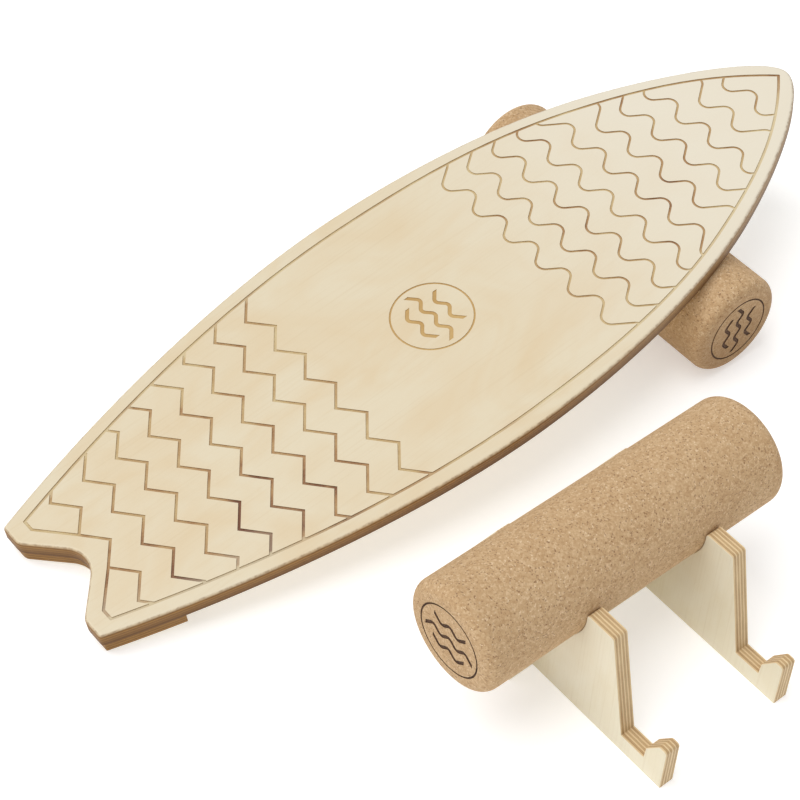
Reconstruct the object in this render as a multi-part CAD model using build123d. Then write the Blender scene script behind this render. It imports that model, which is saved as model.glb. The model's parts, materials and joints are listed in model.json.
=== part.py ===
from build123d import *
from math import asin, atan2, cos, degrees, hypot
import os

os.makedirs("parts", exist_ok=True)

# Balance board with a loose roller, and a two-bracket stand that keeps a roller and the deck.
# Millimetres, Z up, floor at z = 0. The origin is the middle of the cross board's bottom edge.
# The deck's length and the stored roller run along X; the roller under the deck runs along Y.

# Deck: plywood, pointed nose towards +X, fish tail towards -X
deck_length = 857.5
deck_thickness = 14
top_edge_radius = 3
bottom_edge_radius = 1
lobe_outer_y = 72.5
lobe_inner_y = 50
lobe_inner_radius = 13
lobe_outer_radius = 4
notch_corner_x = 44
notch_radius = 27

# Stop blocks: the same plywood, glued under both ends a little inside the deck's edge
stop_length = 70
stop_thickness = 14
stop_inset = 2.8
stop_edge_radius = 1.5

# Routed lines on the deck
groove_depth = 1
groove_width = 2.6
line_step_y = 21.8
zigzag_count = 8
zigzag_first_x = 44.3
zigzag_pitch = 34.6
zigzag_swing = 17.3
wave_first_x = 514.4
wave_pitch = 30.8
wave_swing = 28.9
wave_radius = 9.4
wave_width = 2.2
wave_steps = [6, 6, 6, 6, 5, 4, 4, 4, 2, 2]
wave_stub = 20
border_tail_x = 17.4
border_tail_outer_y = 64.5
border_tail_inner_y = 53.5
border_nose_x = 847

# Emblem: a ring around three plain waves
emblem_depth = 0.6
emblem_line = 1.7
emblem_stroke = 3.6
deck_emblem_x = 413.9
deck_emblem_radius = 38
roller_emblem_radius = 33
bracket_emblem_radius = 31

# Rollers: solid cork
roller_radius = 50
roller_length = 320
roller_edge_radius = 11
running_gap = 0.3

# Where the deck and its roller lie on the floor
ride_roller_x = 296
deck_y = 290
roller_from_tail = 638.5

# Stand: two plywood brackets and a cross board, halved into each other
ply = 15
bracket_pitch = 128.8
bracket_depth = 240
cross_board_length = 195
cross_board_height = 58
cross_board_from_front = 150.7
lap_height = 29
lap_gap = 0.2
hook_height = 49
slot_front_y = 21.5
slot_rear_y = 47
slot_floor_z = 19
hook_chamfer_y = 20.5
horn_front_y = 70.5
horn_height = 122.5
rear_horn_y = 208
rear_horn_height = 119
seat_from_front = 150.5
seat_floor_z = 67.7
ply_edge_radius = 0.8
bracket_emblem_y = 198
bracket_emblem_z = 44
stored_roller_x = -9


def groove(first_x, swing, width, radius, step_y, half_count, stub=0):
    """A line across the deck that swings between first_x and first_x + swing, as a flat band.

    It has half_count steps on each side of y = 0. Both ends may run on by a stub straight along Y.
    """
    lean = atan2(swing, step_y)
    shift = width / 2 / cos(lean)
    turns = range(-half_count, half_count + 1)
    outside = radius + width / 2 if radius else 0
    inside = radius - width / 2 if radius else 0
    edges = []
    for side in (1, -1):
        points = [(first_x + swing * (n % 2 == 0) + side * shift, n * step_y) for n in turns]
        radii = [outside if (n % 2 == 0) == (side == 1) else inside for n in turns]
        if stub:
            aside = side * (width / 2 - shift)
            x = points[-1][0] + aside
            y = points[-1][1] + aside * step_y / (swing if half_count % 2 == 0 else -swing)
            points = [(x, -y - stub), (x, -y)] + points[1:-1] + [(x, y), (x, y + stub)]
            radii = [0] + radii + [0]
        edges.append(FilletPolyline(*points, radius=radii[1:-1]))
    front, rear = edges
    ends = [Line(front @ 0, rear @ 0), Line(front @ 1, rear @ 1)]
    return make_face(Wire(front.edges() + rear.edges() + ends))


def emblem(radius):
    """A ring with three plain waves inside it, flat on XY."""
    shape = Circle(radius + emblem_line / 2) - Circle(radius - emblem_line / 2)
    for place, half_count in ((-1, 2), (0, 3), (1, 2)):
        wave_x = radius * (0.42 * place - 0.12)
        shape += groove(wave_x, radius * 0.24, emblem_stroke, radius * 0.12, radius * 0.28, half_count)
    return shape


def closed_outline(side_curves, tail):
    """A flat face between one side's curves, their mirror image and the tail line that joins them."""
    edges = list(tail.edges())
    for sign in (1, -1):
        for curve in side_curves:
            edges.append(Bezier(*[(x, sign * y) for x, y in curve]).edge())
    return make_face(Wire(edges))


# Deck outline, from the tail tips to the nose
deck_side = [
    [(0, lobe_outer_y), (125.5, 118), (285.5, 154), (414.5, 154)],
    [(414.5, 154), (505.5, 154), (610.5, 141.3), (695.5, 108.3)],
    [(695.5, 108.3), (770.5, 79.2), (deck_length, 29), (deck_length, 0)],
]
tail_line = FilletPolyline(
    (0, lobe_outer_y),
    (0, lobe_inner_y),
    (notch_corner_x, 0),
    (0, -lobe_inner_y),
    (0, -lobe_outer_y),
    radius=[lobe_inner_radius, notch_radius, lobe_inner_radius],
)
deck_outline = closed_outline(deck_side, tail_line)
lobe_corners = [v for v in deck_outline.vertices() if v.X < 0.1 and abs(v.Y) > lobe_outer_y - 1]
deck_outline = fillet(lobe_corners, lobe_outer_radius)

# Deck body with eased edges
deck = extrude(deck_outline, deck_thickness)
deck = fillet(deck.faces().sort_by(Axis.Z)[-1].outer_wire().edges(), top_edge_radius)
deck = fillet(deck.faces().sort_by(Axis.Z)[0].outer_wire().edges(), bottom_edge_radius)

# Border line, a little inside the deck's edge
border_side = [
    [(border_tail_x, border_tail_outer_y), (135.5, 104.3), (275.5, 138), (412.5, 138)],
    [(412.5, 138), (500.5, 138), (585.5, 132.2), (665.5, 104.6)],
    [(665.5, 104.6), (735.5, 80.4), (795.5, 53.5), (border_nose_x, 0)],
]
border_tail = Polyline(
    (border_tail_x, border_tail_outer_y),
    (border_tail_x, border_tail_inner_y),
    (zigzag_first_x, line_step_y),
    (zigzag_first_x + zigzag_swing, 0),
    (zigzag_first_x, -line_step_y),
    (border_tail_x, -border_tail_inner_y),
    (border_tail_x, -border_tail_outer_y),
)
field = closed_outline(border_side, border_tail)
border_outside = offset(field, groove_width / 2, kind=Kind.ARC).face().to_splines()
border_inside = offset(field, -groove_width / 2, kind=Kind.INTERSECTION).face().to_splines()

# Zigzags towards the tail, waves towards the nose, both cut off by the border
lines = []
for n in range(zigzag_count):
    line_x = zigzag_first_x + n * zigzag_pitch
    lines.append(groove(line_x, zigzag_swing, groove_width, 0, line_step_y, 7))
for n, steps in enumerate(wave_steps):
    line_x = wave_first_x + n * wave_pitch
    lines.append(groove(line_x, wave_swing, wave_width, wave_radius, line_step_y, steps, wave_stub))

top = Pos(0, 0, deck_thickness)
deck -= extrude(top * border_outside, -groove_depth) - extrude(top * border_inside, -groove_depth)
for line in lines:
    deck -= extrude(top * (line & field), -groove_depth)
deck -= extrude(top * Pos(deck_emblem_x, 0) * emblem(deck_emblem_radius), -emblem_depth)

# Stop blocks under the tail and the nose
block_outline = offset(deck_outline, -stop_inset).face().to_splines()
both_blocks = extrude(block_outline, -stop_thickness)


def stop_block(tip_x):
    """The block under the tip at tip_x, as thick as the deck, with its lower edge eased."""
    block = both_blocks & Pos(tip_x, 0, 0) * Box(2 * stop_length, 400, 100)
    return fillet(block.faces().sort_by(Axis.Z)[0].outer_wire().edges(), stop_edge_radius)


tail_stop = stop_block(0)
nose_stop = stop_block(deck_length)

# The deck leans on its roller with the tail block's end on the floor
lever = roller_from_tail - stop_inset - stop_edge_radius
block_above_axis = roller_radius + running_gap - stop_thickness + stop_edge_radius
drop = roller_radius - stop_edge_radius
tilt = degrees(asin(drop / hypot(lever, block_above_axis)) + atan2(block_above_axis, lever))
roller_place = Pos(ride_roller_x, deck_y, roller_radius)
deck_place = roller_place * Rot(0, -tilt, 0) * Pos(-roller_from_tail, 0, roller_radius + running_gap)


def cork_roller():
    """A cork cylinder along Z with round edges and an emblem sunk into both ends."""
    body = Cylinder(roller_radius, roller_length)
    rims = [e for e in body.edges() if e.geom_type == GeomType.CIRCLE]
    body = fillet(rims, roller_edge_radius)
    mark = emblem(roller_emblem_radius)
    for end in (1, -1):
        face_place = Pos(0, 0, end * roller_length / 2)
        body -= extrude(face_place * mark, -end * emblem_depth)
    return body


ride_roller = roller_place * Rot(90, 0, 0) * cork_roller()
seat_z = seat_floor_z + roller_radius
front_y = -cross_board_from_front - ply / 2
stored_roller = Pos(stored_roller_x, front_y + seat_from_front, seat_z) * Rot(0, -90, 0) * cork_roller()

# Bracket profile, y from the hook's front and z from the floor
seat_radius = roller_radius + running_gap
seat_front = seat_from_front - seat_radius
seat_rear = seat_from_front + seat_radius
profile_points = [
    (seat_front, seat_z),
    (seat_front, horn_height),
    (horn_front_y, horn_height),
    (slot_rear_y, slot_floor_z),
    (slot_front_y, slot_floor_z),
    (hook_chamfer_y, 32.4),
    (8, hook_height),
    (0, hook_height),
    (0, 0),
    (bracket_depth, 0),
    (bracket_depth, 60),
    (rear_horn_y, rear_horn_height),
    (seat_rear, rear_horn_height),
    (seat_rear, seat_z),
]
profile_line = Polyline(*profile_points)
seat_line = ThreePointArc(profile_line @ 1, (seat_from_front, seat_z - seat_radius), profile_line @ 0)
profile = make_face(Wire(profile_line.edges() + seat_line.edges()))


def corner(y, z):
    """The corner of the bracket profile at y, z."""
    return [v for v in profile.vertices() if hypot(v.X - y, v.Y - z) < 0.1]


profile = fillet(corner(0, hook_height) + corner(8, hook_height) + corner(hook_chamfer_y, 32.4), 3)
profile = fillet(corner(seat_front, horn_height) + corner(horn_front_y, horn_height), 3)
profile = fillet(corner(bracket_depth, 60), 8)
profile = fillet(corner(rear_horn_y, rear_horn_height), 2)


def bracket(middle_x):
    """A plywood bracket with its middle plane at middle_x and the lap notch astride y = 0."""
    plate = extrude(Plane.YZ * profile, ply / 2, both=True)
    flats = plate.faces().filter_by(Axis.X)
    rims = flats.sort_by(Axis.X)[0].outer_wire().edges() + flats.sort_by(Axis.X)[-1].outer_wire().edges()
    plate = Pos(middle_x, front_y, 0) * fillet(rims, ply_edge_radius)
    return plate - Pos(middle_x, 0, 0) * Box(2 * ply, ply + 2 * lap_gap, 2 * lap_height)


right_bracket = bracket(bracket_pitch / 2)
left_bracket = bracket(-bracket_pitch / 2)
mark_plane = Plane(
    origin=(-bracket_pitch / 2 - ply / 2, front_y + bracket_emblem_y, bracket_emblem_z),
    x_dir=(0, 0, 1),
    z_dir=(-1, 0, 0),
)
left_bracket -= extrude(mark_plane * emblem(bracket_emblem_radius), -emblem_depth)

# Cross board, slotted from above for the brackets
standing = (Align.CENTER, Align.CENTER, Align.MIN)
cross_board = Box(cross_board_length, ply, cross_board_height, align=standing)
cross_board = fillet(cross_board.edges(), ply_edge_radius)
for side in (1, -1):
    slot_box = Box(ply + 2 * lap_gap, ply * 2, cross_board_height, align=standing)
    cross_board -= Pos(side * bracket_pitch / 2, 0, lap_height) * slot_box

parts = {
    "deck": deck_place * deck,
    "tail_stop": deck_place * tail_stop,
    "nose_stop": deck_place * nose_stop,
    "ride_roller": ride_roller,
    "left_bracket": left_bracket,
    "right_bracket": right_bracket,
    "cross_board": cross_board,
    "stored_roller": stored_roller,
}
for name, shape in parts.items():
    export_step(shape, f"parts/{name}.step")
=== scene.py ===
import json
import math
import bpy
from mathutils import Matrix, Vector


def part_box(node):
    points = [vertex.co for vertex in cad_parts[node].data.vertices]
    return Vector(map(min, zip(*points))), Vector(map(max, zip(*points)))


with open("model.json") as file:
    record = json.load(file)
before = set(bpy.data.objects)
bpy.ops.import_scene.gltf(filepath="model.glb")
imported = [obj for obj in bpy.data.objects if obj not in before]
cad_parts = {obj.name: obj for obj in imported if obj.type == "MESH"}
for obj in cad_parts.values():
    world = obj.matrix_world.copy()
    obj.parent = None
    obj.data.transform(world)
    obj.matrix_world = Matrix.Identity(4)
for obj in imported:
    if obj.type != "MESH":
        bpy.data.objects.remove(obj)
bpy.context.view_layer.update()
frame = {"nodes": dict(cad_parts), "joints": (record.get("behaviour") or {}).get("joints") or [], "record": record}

record = frame["record"]
nodes = frame["nodes"]
joints = {joint["name"]: joint for joint in frame["joints"]}
mounts = {mount["name"]: mount for mount in record["mounts"]}

# Looks, light and camera for the balance board, its rollers and its stand. The shapes are the CAD nodes.

# Sizes in metres
DECK_THICKNESS = 0.014
STAND_PLY = 0.015
PLY_LAYERS = 9
GROOVE_DEEPEST = 0.0013
EMBLEM_DEPTH = 0.0006
DECK_EMBLEM_RADIUS = 0.038
ROLLER_EMBLEM_RADIUS = 0.033
BRACKET_EMBLEM_RADIUS = 0.031
BRACKET_EMBLEM_FROM_FRONT = 0.198
BRACKET_EMBLEM_HEIGHT = 0.044

# Cork granules to a metre
COARSE_GRANULES = 430
FINE_GRANULES = 1000

# Where the deck's emblem and tail lie, measured back from the mount deck_top
EMBLEM_BEHIND_MOUNT = 0.0616
TAIL_BEHIND_MOUNT = 0.4755

# One side of the deck's border groove: cubic curves with points (from the tail, from the middle line)
BORDER = [
    [(0.0174, 0.0645), (0.1355, 0.1043), (0.2755, 0.1380), (0.4125, 0.1380)],
    [(0.4125, 0.1380), (0.5005, 0.1380), (0.5855, 0.1322), (0.6655, 0.1046)],
    [(0.6655, 0.1046), (0.7355, 0.0804), (0.7955, 0.0535), (0.8470, 0.0000)],
]
BORDER_STEPS = 8

# Width that the border's ramp reads as white
BORDER_REACH = 0.2


def linear(red, green, blue):
    """A colour given as 0-255 screen values, in linear light."""
    def one(value):
        value /= 255
        return value / 12.92 if value <= 0.04045 else ((value + 0.055) / 1.055) ** 2.4
    return (one(red), one(green), one(blue), 1.0)


class Surface:
    """A material under construction, with short calls for the nodes that it needs."""

    def __init__(self, name):
        self.material = bpy.data.materials.new(name)
        self.material.use_nodes = True
        self.tree = self.material.node_tree
        self.shader = self.tree.nodes["Principled BSDF"]
        coordinates = self.node("ShaderNodeTexCoord")
        self.place = coordinates.outputs["Object"]
        self.normal = coordinates.outputs["Normal"]

    def node(self, kind, **settings):
        made = self.tree.nodes.new(kind)
        for key, value in settings.items():
            setattr(made, key, value)
        return made

    def put(self, socket, value):
        if isinstance(value, bpy.types.NodeSocket):
            self.tree.links.new(value, socket)
        else:
            socket.default_value = value

    def math(self, operation, first, second=0.0):
        made = self.node("ShaderNodeMath", operation=operation)
        self.put(made.inputs[0], first)
        self.put(made.inputs[1], second)
        return made.outputs[0]

    def times(self, first, *others):
        for other in others:
            first = self.math("MULTIPLY", first, other)
        return first

    def plus(self, first, *others):
        for other in others:
            first = self.math("ADD", first, other)
        return first

    def length(self, first, second):
        """Distance from zero of a point with these two coordinates."""
        return self.math("SQRT", self.plus(self.times(first, first), self.times(second, second)))

    def dot(self, vector, direction):
        made = self.node("ShaderNodeVectorMath", operation="DOT_PRODUCT")
        self.put(made.inputs[0], vector)
        self.put(made.inputs[1], tuple(direction))
        return made.outputs["Value"]

    def along(self, origin, direction):
        """Distance of the surface point from origin along a direction."""
        return self.math("SUBTRACT", self.dot(self.place, direction), Vector(origin).dot(Vector(direction)))

    def join(self, x, y, z):
        made = self.node("ShaderNodeCombineXYZ")
        for socket, value in zip(made.inputs, (x, y, z)):
            self.put(socket, value)
        return made.outputs[0]

    def stretch(self, vector, factors):
        made = self.node("ShaderNodeVectorMath", operation="MULTIPLY")
        self.put(made.inputs[0], vector)
        self.put(made.inputs[1], tuple(factors))
        return made.outputs["Vector"]

    def noise(self, vector, scale, detail=2.0, rough=0.5, twist=0.0):
        made = self.node("ShaderNodeTexNoise")
        self.put(made.inputs["Vector"], vector)
        self.put(made.inputs["Scale"], scale)
        self.put(made.inputs["Detail"], detail)
        self.put(made.inputs["Roughness"], rough)
        self.put(made.inputs["Distortion"], twist)
        return made.outputs["Fac"]

    def cells(self, vector, scale, feature="F1"):
        made = self.node("ShaderNodeTexVoronoi", feature=feature)
        self.put(made.inputs["Vector"], vector)
        self.put(made.inputs["Scale"], scale)
        return made

    def ramp(self, value, stops):
        made = self.node("ShaderNodeValToRGB")
        band = made.color_ramp
        while len(band.elements) < len(stops):
            band.elements.new(0.5)
        for element, (position, color) in zip(band.elements, stops):
            element.position = position
            element.color = color
        self.put(made.inputs["Fac"], value)
        return made.outputs["Color"]

    def step(self, value, low, high):
        """0 below low, 1 above high, and a straight line between them."""
        made = self.node("ShaderNodeMapRange")
        for name, number in (("From Min", low), ("From Max", high), ("To Min", 0.0), ("To Max", 1.0)):
            made.inputs[name].default_value = number
        self.put(made.inputs["Value"], value)
        return made.outputs["Result"]

    def mix(self, amount, first, second):
        """first where amount is 0, second where it is 1."""
        made = self.node("ShaderNodeMix", data_type="RGBA")
        self.put(made.inputs["Factor"], amount)
        self.put(made.inputs["A"], first)
        self.put(made.inputs["B"], second)
        return made.outputs["Result"]

    def bump(self, height, distance, strength=1.0, below=None):
        made = self.node("ShaderNodeBump")
        self.put(made.inputs["Height"], height)
        self.put(made.inputs["Distance"], distance)
        self.put(made.inputs["Strength"], strength)
        if below is not None:
            self.put(made.inputs["Normal"], below)
        return made.outputs["Normal"]

    def finish(self, color, roughness, normal):
        self.put(self.shader.inputs["Base Color"], color)
        self.put(self.shader.inputs["Roughness"], roughness)
        self.put(self.shader.inputs["Normal"], normal)
        return self.material


def veneer(surface, along, across, pale, warm, shade):
    """Colour of a birch face: soft clouds, long fine streaks and short pores along the grain."""
    grain = surface.join(along, across, 0.0)
    clouds = surface.noise(surface.stretch(grain, (7, 11, 1)), 1.0, 3.0, 0.6, 1.2)
    streaks = surface.noise(surface.stretch(grain, (7, 420, 1)), 1.0, 4.0, 0.6, 0.2)
    pores = surface.noise(surface.stretch(grain, (140, 1700, 1)), 1.0, 1.0, 0.5)
    color = surface.mix(surface.step(clouds, 0.38, 0.66), pale, warm)
    color = surface.mix(surface.times(surface.step(streaks, 0.52, 0.74), 0.22), color, shade)
    color = surface.mix(surface.times(surface.step(pores, 0.66, 0.78), 0.22), color, shade)
    return color, streaks, pores


def ply_edge(surface, depth, spot, thickness, light, dark, glue):
    """Colour of a plywood edge: long-grain and end-grain layers in turn, with thin glue lines."""
    wander = surface.noise(surface.stretch(spot, (9, 9, 9)), 1.0, 2.0)
    moved = surface.plus(depth, surface.times(surface.plus(wander, -0.5), 0.0006))
    turn = surface.times(moved, PLY_LAYERS / thickness)
    inside = surface.math("FRACT", turn)
    index = surface.math("FLOOR", turn)
    end_grain = surface.step(surface.math("FRACT", surface.times(index, 0.5)), 0.2, 0.3)
    per_layer = surface.noise(surface.join(surface.times(index, 7.31), 0.0, 0.0), 1.0, 0.0)
    fibre = surface.noise(surface.stretch(spot, (260, 260, 2600)), 1.0, 3.0, 0.6)
    blotch = surface.noise(surface.stretch(spot, (38, 38, 300)), 1.0, 3.0, 0.6)
    tone = surface.plus(surface.times(end_grain, 0.52), surface.times(per_layer, 0.45))
    tone = surface.plus(tone, surface.times(surface.plus(fibre, -0.5), 0.55))
    tone = surface.plus(tone, surface.times(surface.plus(blotch, -0.5), 0.5))
    color = surface.mix(surface.step(tone, 0.1, 0.95), light, dark)
    border = surface.step(surface.math("ABSOLUTE", surface.plus(inside, -0.5)), 0.43, 0.48)
    line = surface.times(border, surface.step(blotch, 0.32, 0.52))
    color = surface.mix(surface.times(line, 0.8), color, glue)
    return color, line, fibre


def emblem_lines(surface, depth, from_centre, radius):
    """1 on the sunk lines of an emblem with this radius, whose face is at depth 0."""
    return surface.times(
        surface.step(depth, 0.0001, 0.0003),
        surface.step(depth, EMBLEM_DEPTH + 0.0003, EMBLEM_DEPTH + 0.0001),
        surface.step(from_centre, radius + 0.004, radius + 0.003),
    )


def on_curve(points, t):
    """The point at t, from 0 to 1, of a cubic curve."""
    weights = ((1 - t) ** 3, 3 * t * (1 - t) ** 2, 3 * t**2 * (1 - t), t**3)
    return tuple(sum(weight * point[i] for weight, point in zip(weights, points)) for i in (0, 1))


def on_border(surface, along, across):
    """1 on the deck's border groove and 0 away from it."""
    points = [on_curve(curve, n / BORDER_STEPS) for curve in BORDER for n in range(BORDER_STEPS)]
    points.append(BORDER[-1][-1])
    start, end = points[0][0], points[-1][0]
    run = surface.times(surface.plus(along, TAIL_BEHIND_MOUNT - start), 1 / (end - start))
    stops = []
    for x, half_width in points:
        grey = half_width / BORDER_REACH
        stops.append(((x - start) / (end - start), (grey, grey, grey, 1.0)))
    half_width = surface.times(surface.ramp(run, stops), BORDER_REACH)
    gap = surface.math("SUBTRACT", surface.math("ABSOLUTE", across), half_width)
    return surface.step(surface.math("ABSOLUTE", gap), 0.0045, 0.003)


def groove_color(surface, along, across, spot, fine):
    """Burnt brown in patches, paler along the border and golden in the emblem."""
    burn = surface.noise(surface.stretch(spot, (15, 15, 0)), 1.0, 3.0, 0.65, 0.3)
    scorched = surface.times(surface.step(along, -0.15, -0.28), surface.step(across, 0.03, -0.03))
    burn = surface.plus(burn, surface.times(scorched, 0.16))
    burn = surface.plus(burn, surface.times(surface.plus(fine, -0.5), 0.16))
    burnt = surface.ramp(burn, [
        (0.30, linear(212, 194, 152)),
        (0.48, linear(196, 170, 124)),
        (0.62, linear(174, 136, 94)),
        (0.76, linear(118, 76, 54)),
    ])

    # The border is paler than the lines, most of all on the near side and on the tail lobe there
    both_ends = surface.math("MAXIMUM", surface.step(along, -0.26, -0.32), surface.step(along, -0.16, -0.04))
    near_pale = surface.plus(surface.times(both_ends, 0.5), 0.2)
    near_side = surface.times(surface.step(across, 0.0, -0.03), near_pale)
    far_tail = surface.times(surface.step(across, 0.0, 0.03), surface.step(along, 0.12, -0.05), 0.4)
    paleness = surface.times(on_border(surface, along, across), surface.plus(near_side, far_tail))
    burnt = surface.mix(paleness, burnt, linear(218, 204, 168))
    near_edge = surface.times(surface.step(along, -0.27, -0.34), surface.step(across, -0.065, -0.085))
    lobe = surface.times(surface.step(along, -0.415, -0.435), surface.step(across, -0.035, -0.05))
    sanded = surface.times(surface.math("MAXIMUM", near_edge, lobe), 0.45)
    burnt = surface.mix(sanded, burnt, linear(204, 192, 166))

    from_emblem = surface.length(surface.plus(along, EMBLEM_BEHIND_MOUNT), across)
    in_emblem = surface.step(from_emblem, DECK_EMBLEM_RADIUS + 0.004, DECK_EMBLEM_RADIUS + 0.003)
    golden = surface.mix(surface.step(burn, 0.3, 0.7), linear(206, 174, 116), linear(184, 146, 88))
    return surface.mix(in_emblem, burnt, golden)


def deck_marks(surface, color, depth, facing, on_edge, spot):
    """Adds rub marks on the rounded rim, the glued seam and the dark lower half of the deck's edge."""
    rim = surface.times(surface.step(facing, 0.97, 0.86), surface.step(facing, 0.4, 0.7))
    patches = surface.noise(surface.stretch(spot, (160, 160, 0)), 1.0, 3.0, 0.7)
    patches = surface.times(surface.step(patches, 0.42, 0.62), surface.step(depth, 0.005, 0.004))
    color = surface.mix(surface.times(rim, patches, 0.5), color, linear(128, 94, 62))
    from_seam = surface.math("ABSOLUTE", surface.plus(depth, -DECK_THICKNESS))
    seam = surface.step(from_seam, 0.0007, 0.0002)
    color = surface.mix(surface.times(seam, on_edge, 0.85), color, linear(78, 44, 12))
    lower = surface.times(surface.step(depth, 0.0035, 0.013), surface.step(depth, 0.018, 0.014))
    return surface.mix(surface.times(lower, on_edge, 0.8), color, linear(92, 56, 14))


def deck_ply():
    """Lacquered birch plywood of the deck and its stop blocks, with burnt grooves."""
    surface = Surface("deck_ply")
    up = Vector(mounts["deck_top"]["axis"])
    top = Vector(mounts["deck_top"]["pos_m"])
    nose = Vector((up.z, 0, -up.x))
    side = Vector((0, 1, 0))
    depth = surface.times(surface.along(top, up), -1.0)
    along = surface.along(top, nose)
    across = surface.along(top, side)
    facing = surface.dot(surface.normal, up)

    pale = linear(223, 210, 182)
    warm = linear(220, 201, 167)
    shade = linear(204, 180, 140)
    face, streaks, pores = veneer(surface, along, across, pale, warm, shade)
    noseward = surface.times(surface.step(along, -0.02, 0.24), 0.85)
    face = surface.mix(noseward, face, linear(229, 221, 203))
    spot = surface.join(along, across, depth)
    edge, line, fibre = ply_edge(
        surface, depth, spot, DECK_THICKNESS,
        linear(166, 122, 60), linear(124, 84, 34), linear(80, 48, 16),
    )
    on_edge = surface.step(surface.math("ABSOLUTE", facing), 0.93, 0.35)
    edge = surface.mix(surface.times(surface.step(along, -0.1, 0.25), 0.4), edge, linear(190, 166, 134))
    color = surface.mix(on_edge, face, edge)
    color = deck_marks(surface, color, depth, facing, on_edge, spot)

    # Grooves: their floors lie just under the top and face up, and their walls stand upright there
    shallow = surface.times(
        surface.step(depth, 0.00015, 0.00035),
        surface.step(depth, GROOVE_DEEPEST + 0.0002, GROOVE_DEEPEST),
    )
    floor = surface.step(facing, 0.93, 0.97)
    wall = surface.step(facing, 0.45, 0.3)
    in_groove = surface.times(shallow, surface.math("MAXIMUM", floor, wall))
    fine = surface.noise(surface.stretch(spot, (600, 600, 0)), 1.0, 2.0, 0.6)
    color = surface.mix(in_groove, color, groove_color(surface, along, across, spot, fine))

    relief = surface.plus(surface.times(streaks, 0.5), surface.times(pores, 0.5))
    normal = surface.bump(relief, 0.00004, 0.5)
    cut = surface.plus(surface.times(fibre, 0.6), surface.times(line, -0.8))
    normal = surface.bump(surface.times(cut, on_edge), 0.00012, 0.7, normal)
    normal = surface.bump(surface.times(fine, in_groove), 0.0002, 0.8, normal)
    rough = surface.plus(0.36, surface.times(streaks, 0.10))
    rough = surface.plus(rough, surface.times(surface.math("MAXIMUM", on_edge, in_groove), 0.28))
    surface.shader.inputs["Coat Weight"].default_value = 0.12
    surface.shader.inputs["Coat Roughness"].default_value = 0.28
    surface.shader.inputs["Specular IOR Level"].default_value = 0.35
    return surface.finish(color, rough, normal)


def stand_ply(name, middle, face_direction, grain_direction, mark=None):
    """Bare birch plywood whose layers are stacked along face_direction."""
    surface = Surface(name)
    face_direction = Vector(face_direction)
    grain_direction = Vector(grain_direction)
    other = face_direction.cross(grain_direction)
    depth = surface.plus(surface.along(middle, face_direction), STAND_PLY / 2)
    along = surface.along(middle, grain_direction)
    across = surface.along(middle, other)
    facing = surface.math("ABSOLUTE", surface.dot(surface.normal, face_direction))

    pale = linear(234, 226, 203)
    warm = linear(229, 218, 190)
    shade = linear(204, 186, 148)
    face, streaks, pores = veneer(surface, along, across, pale, warm, shade)
    spot = surface.join(along, across, depth)
    edge, line, fibre = ply_edge(
        surface, depth, spot, STAND_PLY,
        linear(226, 202, 158), linear(178, 140, 96), linear(104, 72, 46),
    )
    on_edge = surface.step(facing, 0.82, 0.5)
    color = surface.mix(on_edge, face, edge)

    if mark is not None:
        centre, radius = mark
        away = Vector(centre) - Vector(middle)
        from_mark = surface.length(
            surface.plus(along, -away.dot(grain_direction)),
            surface.plus(across, -away.dot(other)),
        )
        color = surface.mix(emblem_lines(surface, depth, from_mark, radius), color, linear(92, 66, 46))

    relief = surface.plus(surface.times(streaks, 0.5), surface.times(pores, 0.5))
    normal = surface.bump(relief, 0.00005, 0.5)
    cut = surface.plus(surface.times(fibre, 0.6), surface.times(line, -0.8))
    normal = surface.bump(surface.times(cut, on_edge), 0.00014, 0.8, normal)
    rough = surface.plus(0.52, surface.times(streaks, 0.12))
    surface.shader.inputs["Specular IOR Level"].default_value = 0.3
    return surface.finish(color, rough, normal)


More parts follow.
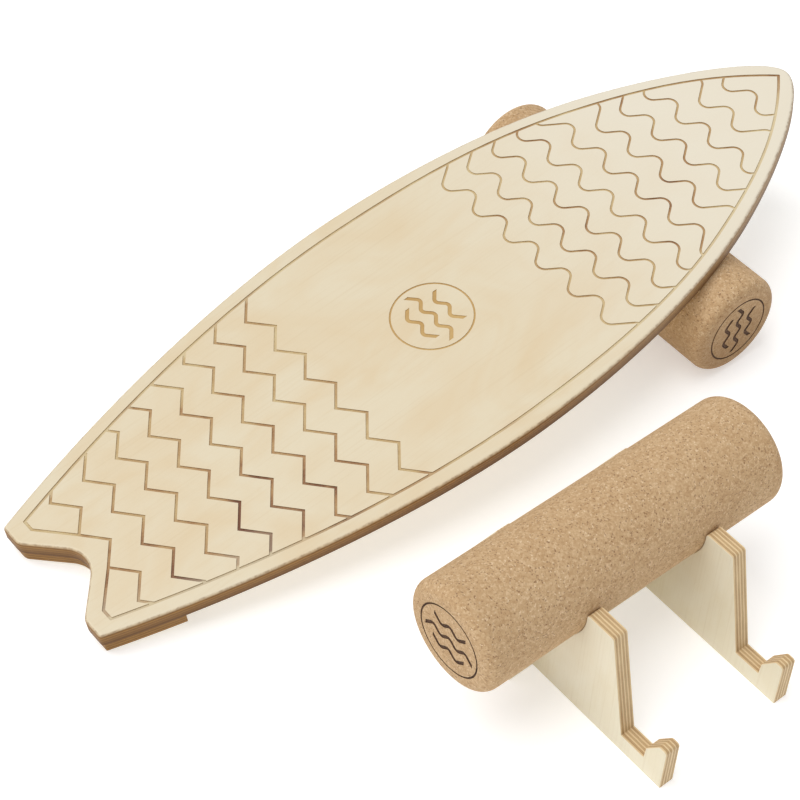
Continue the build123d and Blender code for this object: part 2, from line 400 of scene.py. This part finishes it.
def cork(name, centre, axis, length, painted_shade):
    """Pressed cork granules, darkened low down and on the end faces by painted shade, with an emblem branded into
    both ends.
    """
    surface = Surface(name)
    axis = Vector(axis)
    push = surface.times(surface.noise(surface.place, 420, 2.0), 0.0011)
    shifted = surface.node("ShaderNodeVectorMath", operation="ADD")
    surface.put(shifted.inputs[0], surface.place)
    surface.put(shifted.inputs[1], surface.join(push, push, push))
    place = shifted.outputs["Vector"]

    coarse = surface.cells(place, COARSE_GRANULES)
    fine = surface.cells(surface.stretch(place, (1.0, 0.8, 1.25)), FINE_GRANULES)
    gap = surface.cells(place, COARSE_GRANULES, "DISTANCE_TO_EDGE").outputs["Distance"]
    split = surface.node("ShaderNodeSeparateColor")
    surface.put(split.inputs[0], coarse.outputs["Color"])
    small = surface.node("ShaderNodeSeparateColor")
    surface.put(small.inputs[0], fine.outputs["Color"])
    cloud = surface.noise(surface.place, 16, 3.0, 0.6)

    tone = surface.plus(surface.times(split.outputs[0], 0.52), surface.times(small.outputs[0], 0.48))
    tone = surface.plus(tone, surface.times(surface.plus(cloud, -0.5), 0.35))
    color = surface.ramp(tone, [
        (0.08, linear(181, 146, 105)),
        (0.36, linear(193, 159, 119)),
        (0.62, linear(200, 168, 128)),
        (0.94, linear(214, 184, 146)),
    ])
    dark = surface.step(small.outputs[1], 0.91, 0.93)
    dark = surface.times(dark, surface.step(small.outputs[2], 0.15, 0.5))
    color = surface.mix(surface.times(dark, 0.58), color, linear(112, 74, 46))
    light = surface.step(small.outputs[2], 0.965, 0.98)
    color = surface.mix(surface.times(light, 0.55), color, linear(238, 216, 182))
    crack = surface.step(gap, 0.035, 0.0)
    color = surface.mix(surface.times(crack, 0.15), color, linear(140, 100, 64))

    # Painted shade: the cork is made darker below 9 cm and on its end faces, as strongly as the last argument sets
    height = surface.along((0, 0, 0), (0, 0, 1))
    on_end = surface.step(surface.math("ABSOLUTE", surface.dot(surface.normal, axis)), 0.6, 0.95)
    painted_shade_mask = surface.plus(surface.step(height, 0.09, 0.0), surface.times(on_end, 0.35))
    painted_shade_mask = surface.times(surface.math("MINIMUM", painted_shade_mask, 1.0), painted_shade)
    color = surface.mix(painted_shade_mask, color, linear(120, 84, 44))

    from_middle = surface.math("ABSOLUTE", surface.along(centre, axis))
    under_end = surface.math("SUBTRACT", length / 2, from_middle)
    up = Vector((0, 0, 1))
    from_axis = surface.length(surface.along(centre, up), surface.along(centre, axis.cross(up)))
    branded = emblem_lines(surface, under_end, from_axis, ROLLER_EMBLEM_RADIUS)
    brand = surface.mix(surface.step(small.outputs[0], 0.2, 0.9), linear(66, 46, 34), linear(104, 76, 54))
    color = surface.mix(branded, color, brand)

    grains = surface.times(surface.plus(surface.step(gap, 0.0, 0.12), split.outputs[1]), 0.5)
    normal = surface.bump(grains, 0.00022, 0.6)
    pits = surface.plus(small.outputs[0], surface.times(dark, -1.5))
    normal = surface.bump(pits, 0.00014, 0.6, normal)
    rough = surface.plus(0.70, surface.times(small.outputs[2], 0.18))
    surface.shader.inputs["Specular IOR Level"].default_value = 0.25
    return surface.finish(color, rough, normal)


def middle_of(name):
    low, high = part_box(name)
    return (low + high) / 2


def cover(name, material):
    """Gives a CAD node one material."""
    mesh = nodes[name].data
    mesh.materials.clear()
    mesh.materials.append(material)


def studio_floor():
    """A plain pale sheet of paper, far wider than the picture."""
    mesh = bpy.data.meshes.new("floor")
    reach = 30.0
    corners = [(-reach, -reach, 0), (reach, -reach, 0), (reach, reach, 0), (-reach, reach, 0)]
    mesh.from_pydata(corners, [], [(0, 1, 2, 3)])
    floor = bpy.data.objects.new("floor", mesh)
    bpy.context.scene.collection.objects.link(floor)
    surface = Surface("floor_paper")
    tone = surface.noise(surface.place, 6, 2.0)
    color = surface.mix(tone, (0.82, 0.82, 0.82, 1), (0.84, 0.84, 0.84, 1))
    surface.shader.inputs["Emission Color"].default_value = (1, 1, 1, 1)
    surface.shader.inputs["Emission Strength"].default_value = 0.4
    mesh.materials.append(surface.finish(color, 0.9, surface.bump(tone, 0.0002, 0.1)))


def soft_light():
    """One broad sun from the upper left and an even white sky."""
    key = bpy.data.lights.new("key", "SUN")
    key.energy = 1.9
    key.angle = math.radians(50)
    lamp = bpy.data.objects.new("key", key)
    lamp.rotation_mode = "QUATERNION"
    lamp.rotation_quaternion = Vector((0.34, -0.22, -1)).to_track_quat("-Z", "Y")
    bpy.context.scene.collection.objects.link(lamp)

    world = bpy.data.worlds.new("studio")
    world.use_nodes = True
    background = world.node_tree.nodes["Background"]
    background.inputs["Color"].default_value = (1, 1, 1, 1)
    background.inputs["Strength"].default_value = 0.5
    bpy.context.scene.world = world
    bpy.context.scene.view_settings.view_transform = "Standard"


def photo_camera():
    """Behind and to the right of the tail, looking down at about 48 degrees."""
    roller_axis = Vector(joints["deck_tilt"]["pos_m"])
    from_roller = Vector((-1.1440, -1.0118, 1.4369))
    look = Vector((0.4377, 0.5040, -0.7434)).normalized()
    right = Vector((0.7731, -0.6330, 0.0266))
    right = (right - right.dot(look) * look).normalized()
    up = right.cross(look)
    turned = Matrix((right, up, -look)).transposed().to_4x4()
    lens = bpy.data.cameras.new("camera")
    lens.lens = 98.7
    lens.sensor_width = 36
    lens.clip_end = 100
    camera = bpy.data.objects.new("camera", lens)
    camera.matrix_world = Matrix.Translation(roller_axis + from_roller) @ turned
    bpy.context.scene.collection.objects.link(camera)
    bpy.context.scene.camera = camera


board = deck_ply()
for name in ("deck", "tail_stop", "nose_stop"):
    cover(name, board)

ride_low, ride_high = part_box("ride_roller")
stored_low, stored_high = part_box("stored_roller")
ride_length = ride_high.y - ride_low.y
stored_length = stored_high.x - stored_low.x
# The ride roller gets painted shade at 0.5 and the stored roller gets none
ride_cork = cork("ride_cork", middle_of("ride_roller"), (0, 1, 0), ride_length, 0.5)
stored_cork = cork("stored_cork", middle_of("stored_roller"), (1, 0, 0), stored_length, 0.0)
cover("ride_roller", ride_cork)
cover("stored_roller", stored_cork)

left_middle = middle_of("left_bracket")
left_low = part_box("left_bracket")[0]
mark_y = left_low.y + BRACKET_EMBLEM_FROM_FRONT
bracket_mark = (Vector((left_low.x, mark_y, BRACKET_EMBLEM_HEIGHT)), BRACKET_EMBLEM_RADIUS)
cover("left_bracket", stand_ply("left_ply", left_middle, (1, 0, 0), (0, 0, 1), bracket_mark))
cover("right_bracket", stand_ply("right_ply", middle_of("right_bracket"), (1, 0, 0), (0, 0, 1)))
cover("cross_board", stand_ply("cross_ply", middle_of("cross_board"), (0, 1, 0), (1, 0, 0)))

studio_floor()
soft_light()
photo_camera()
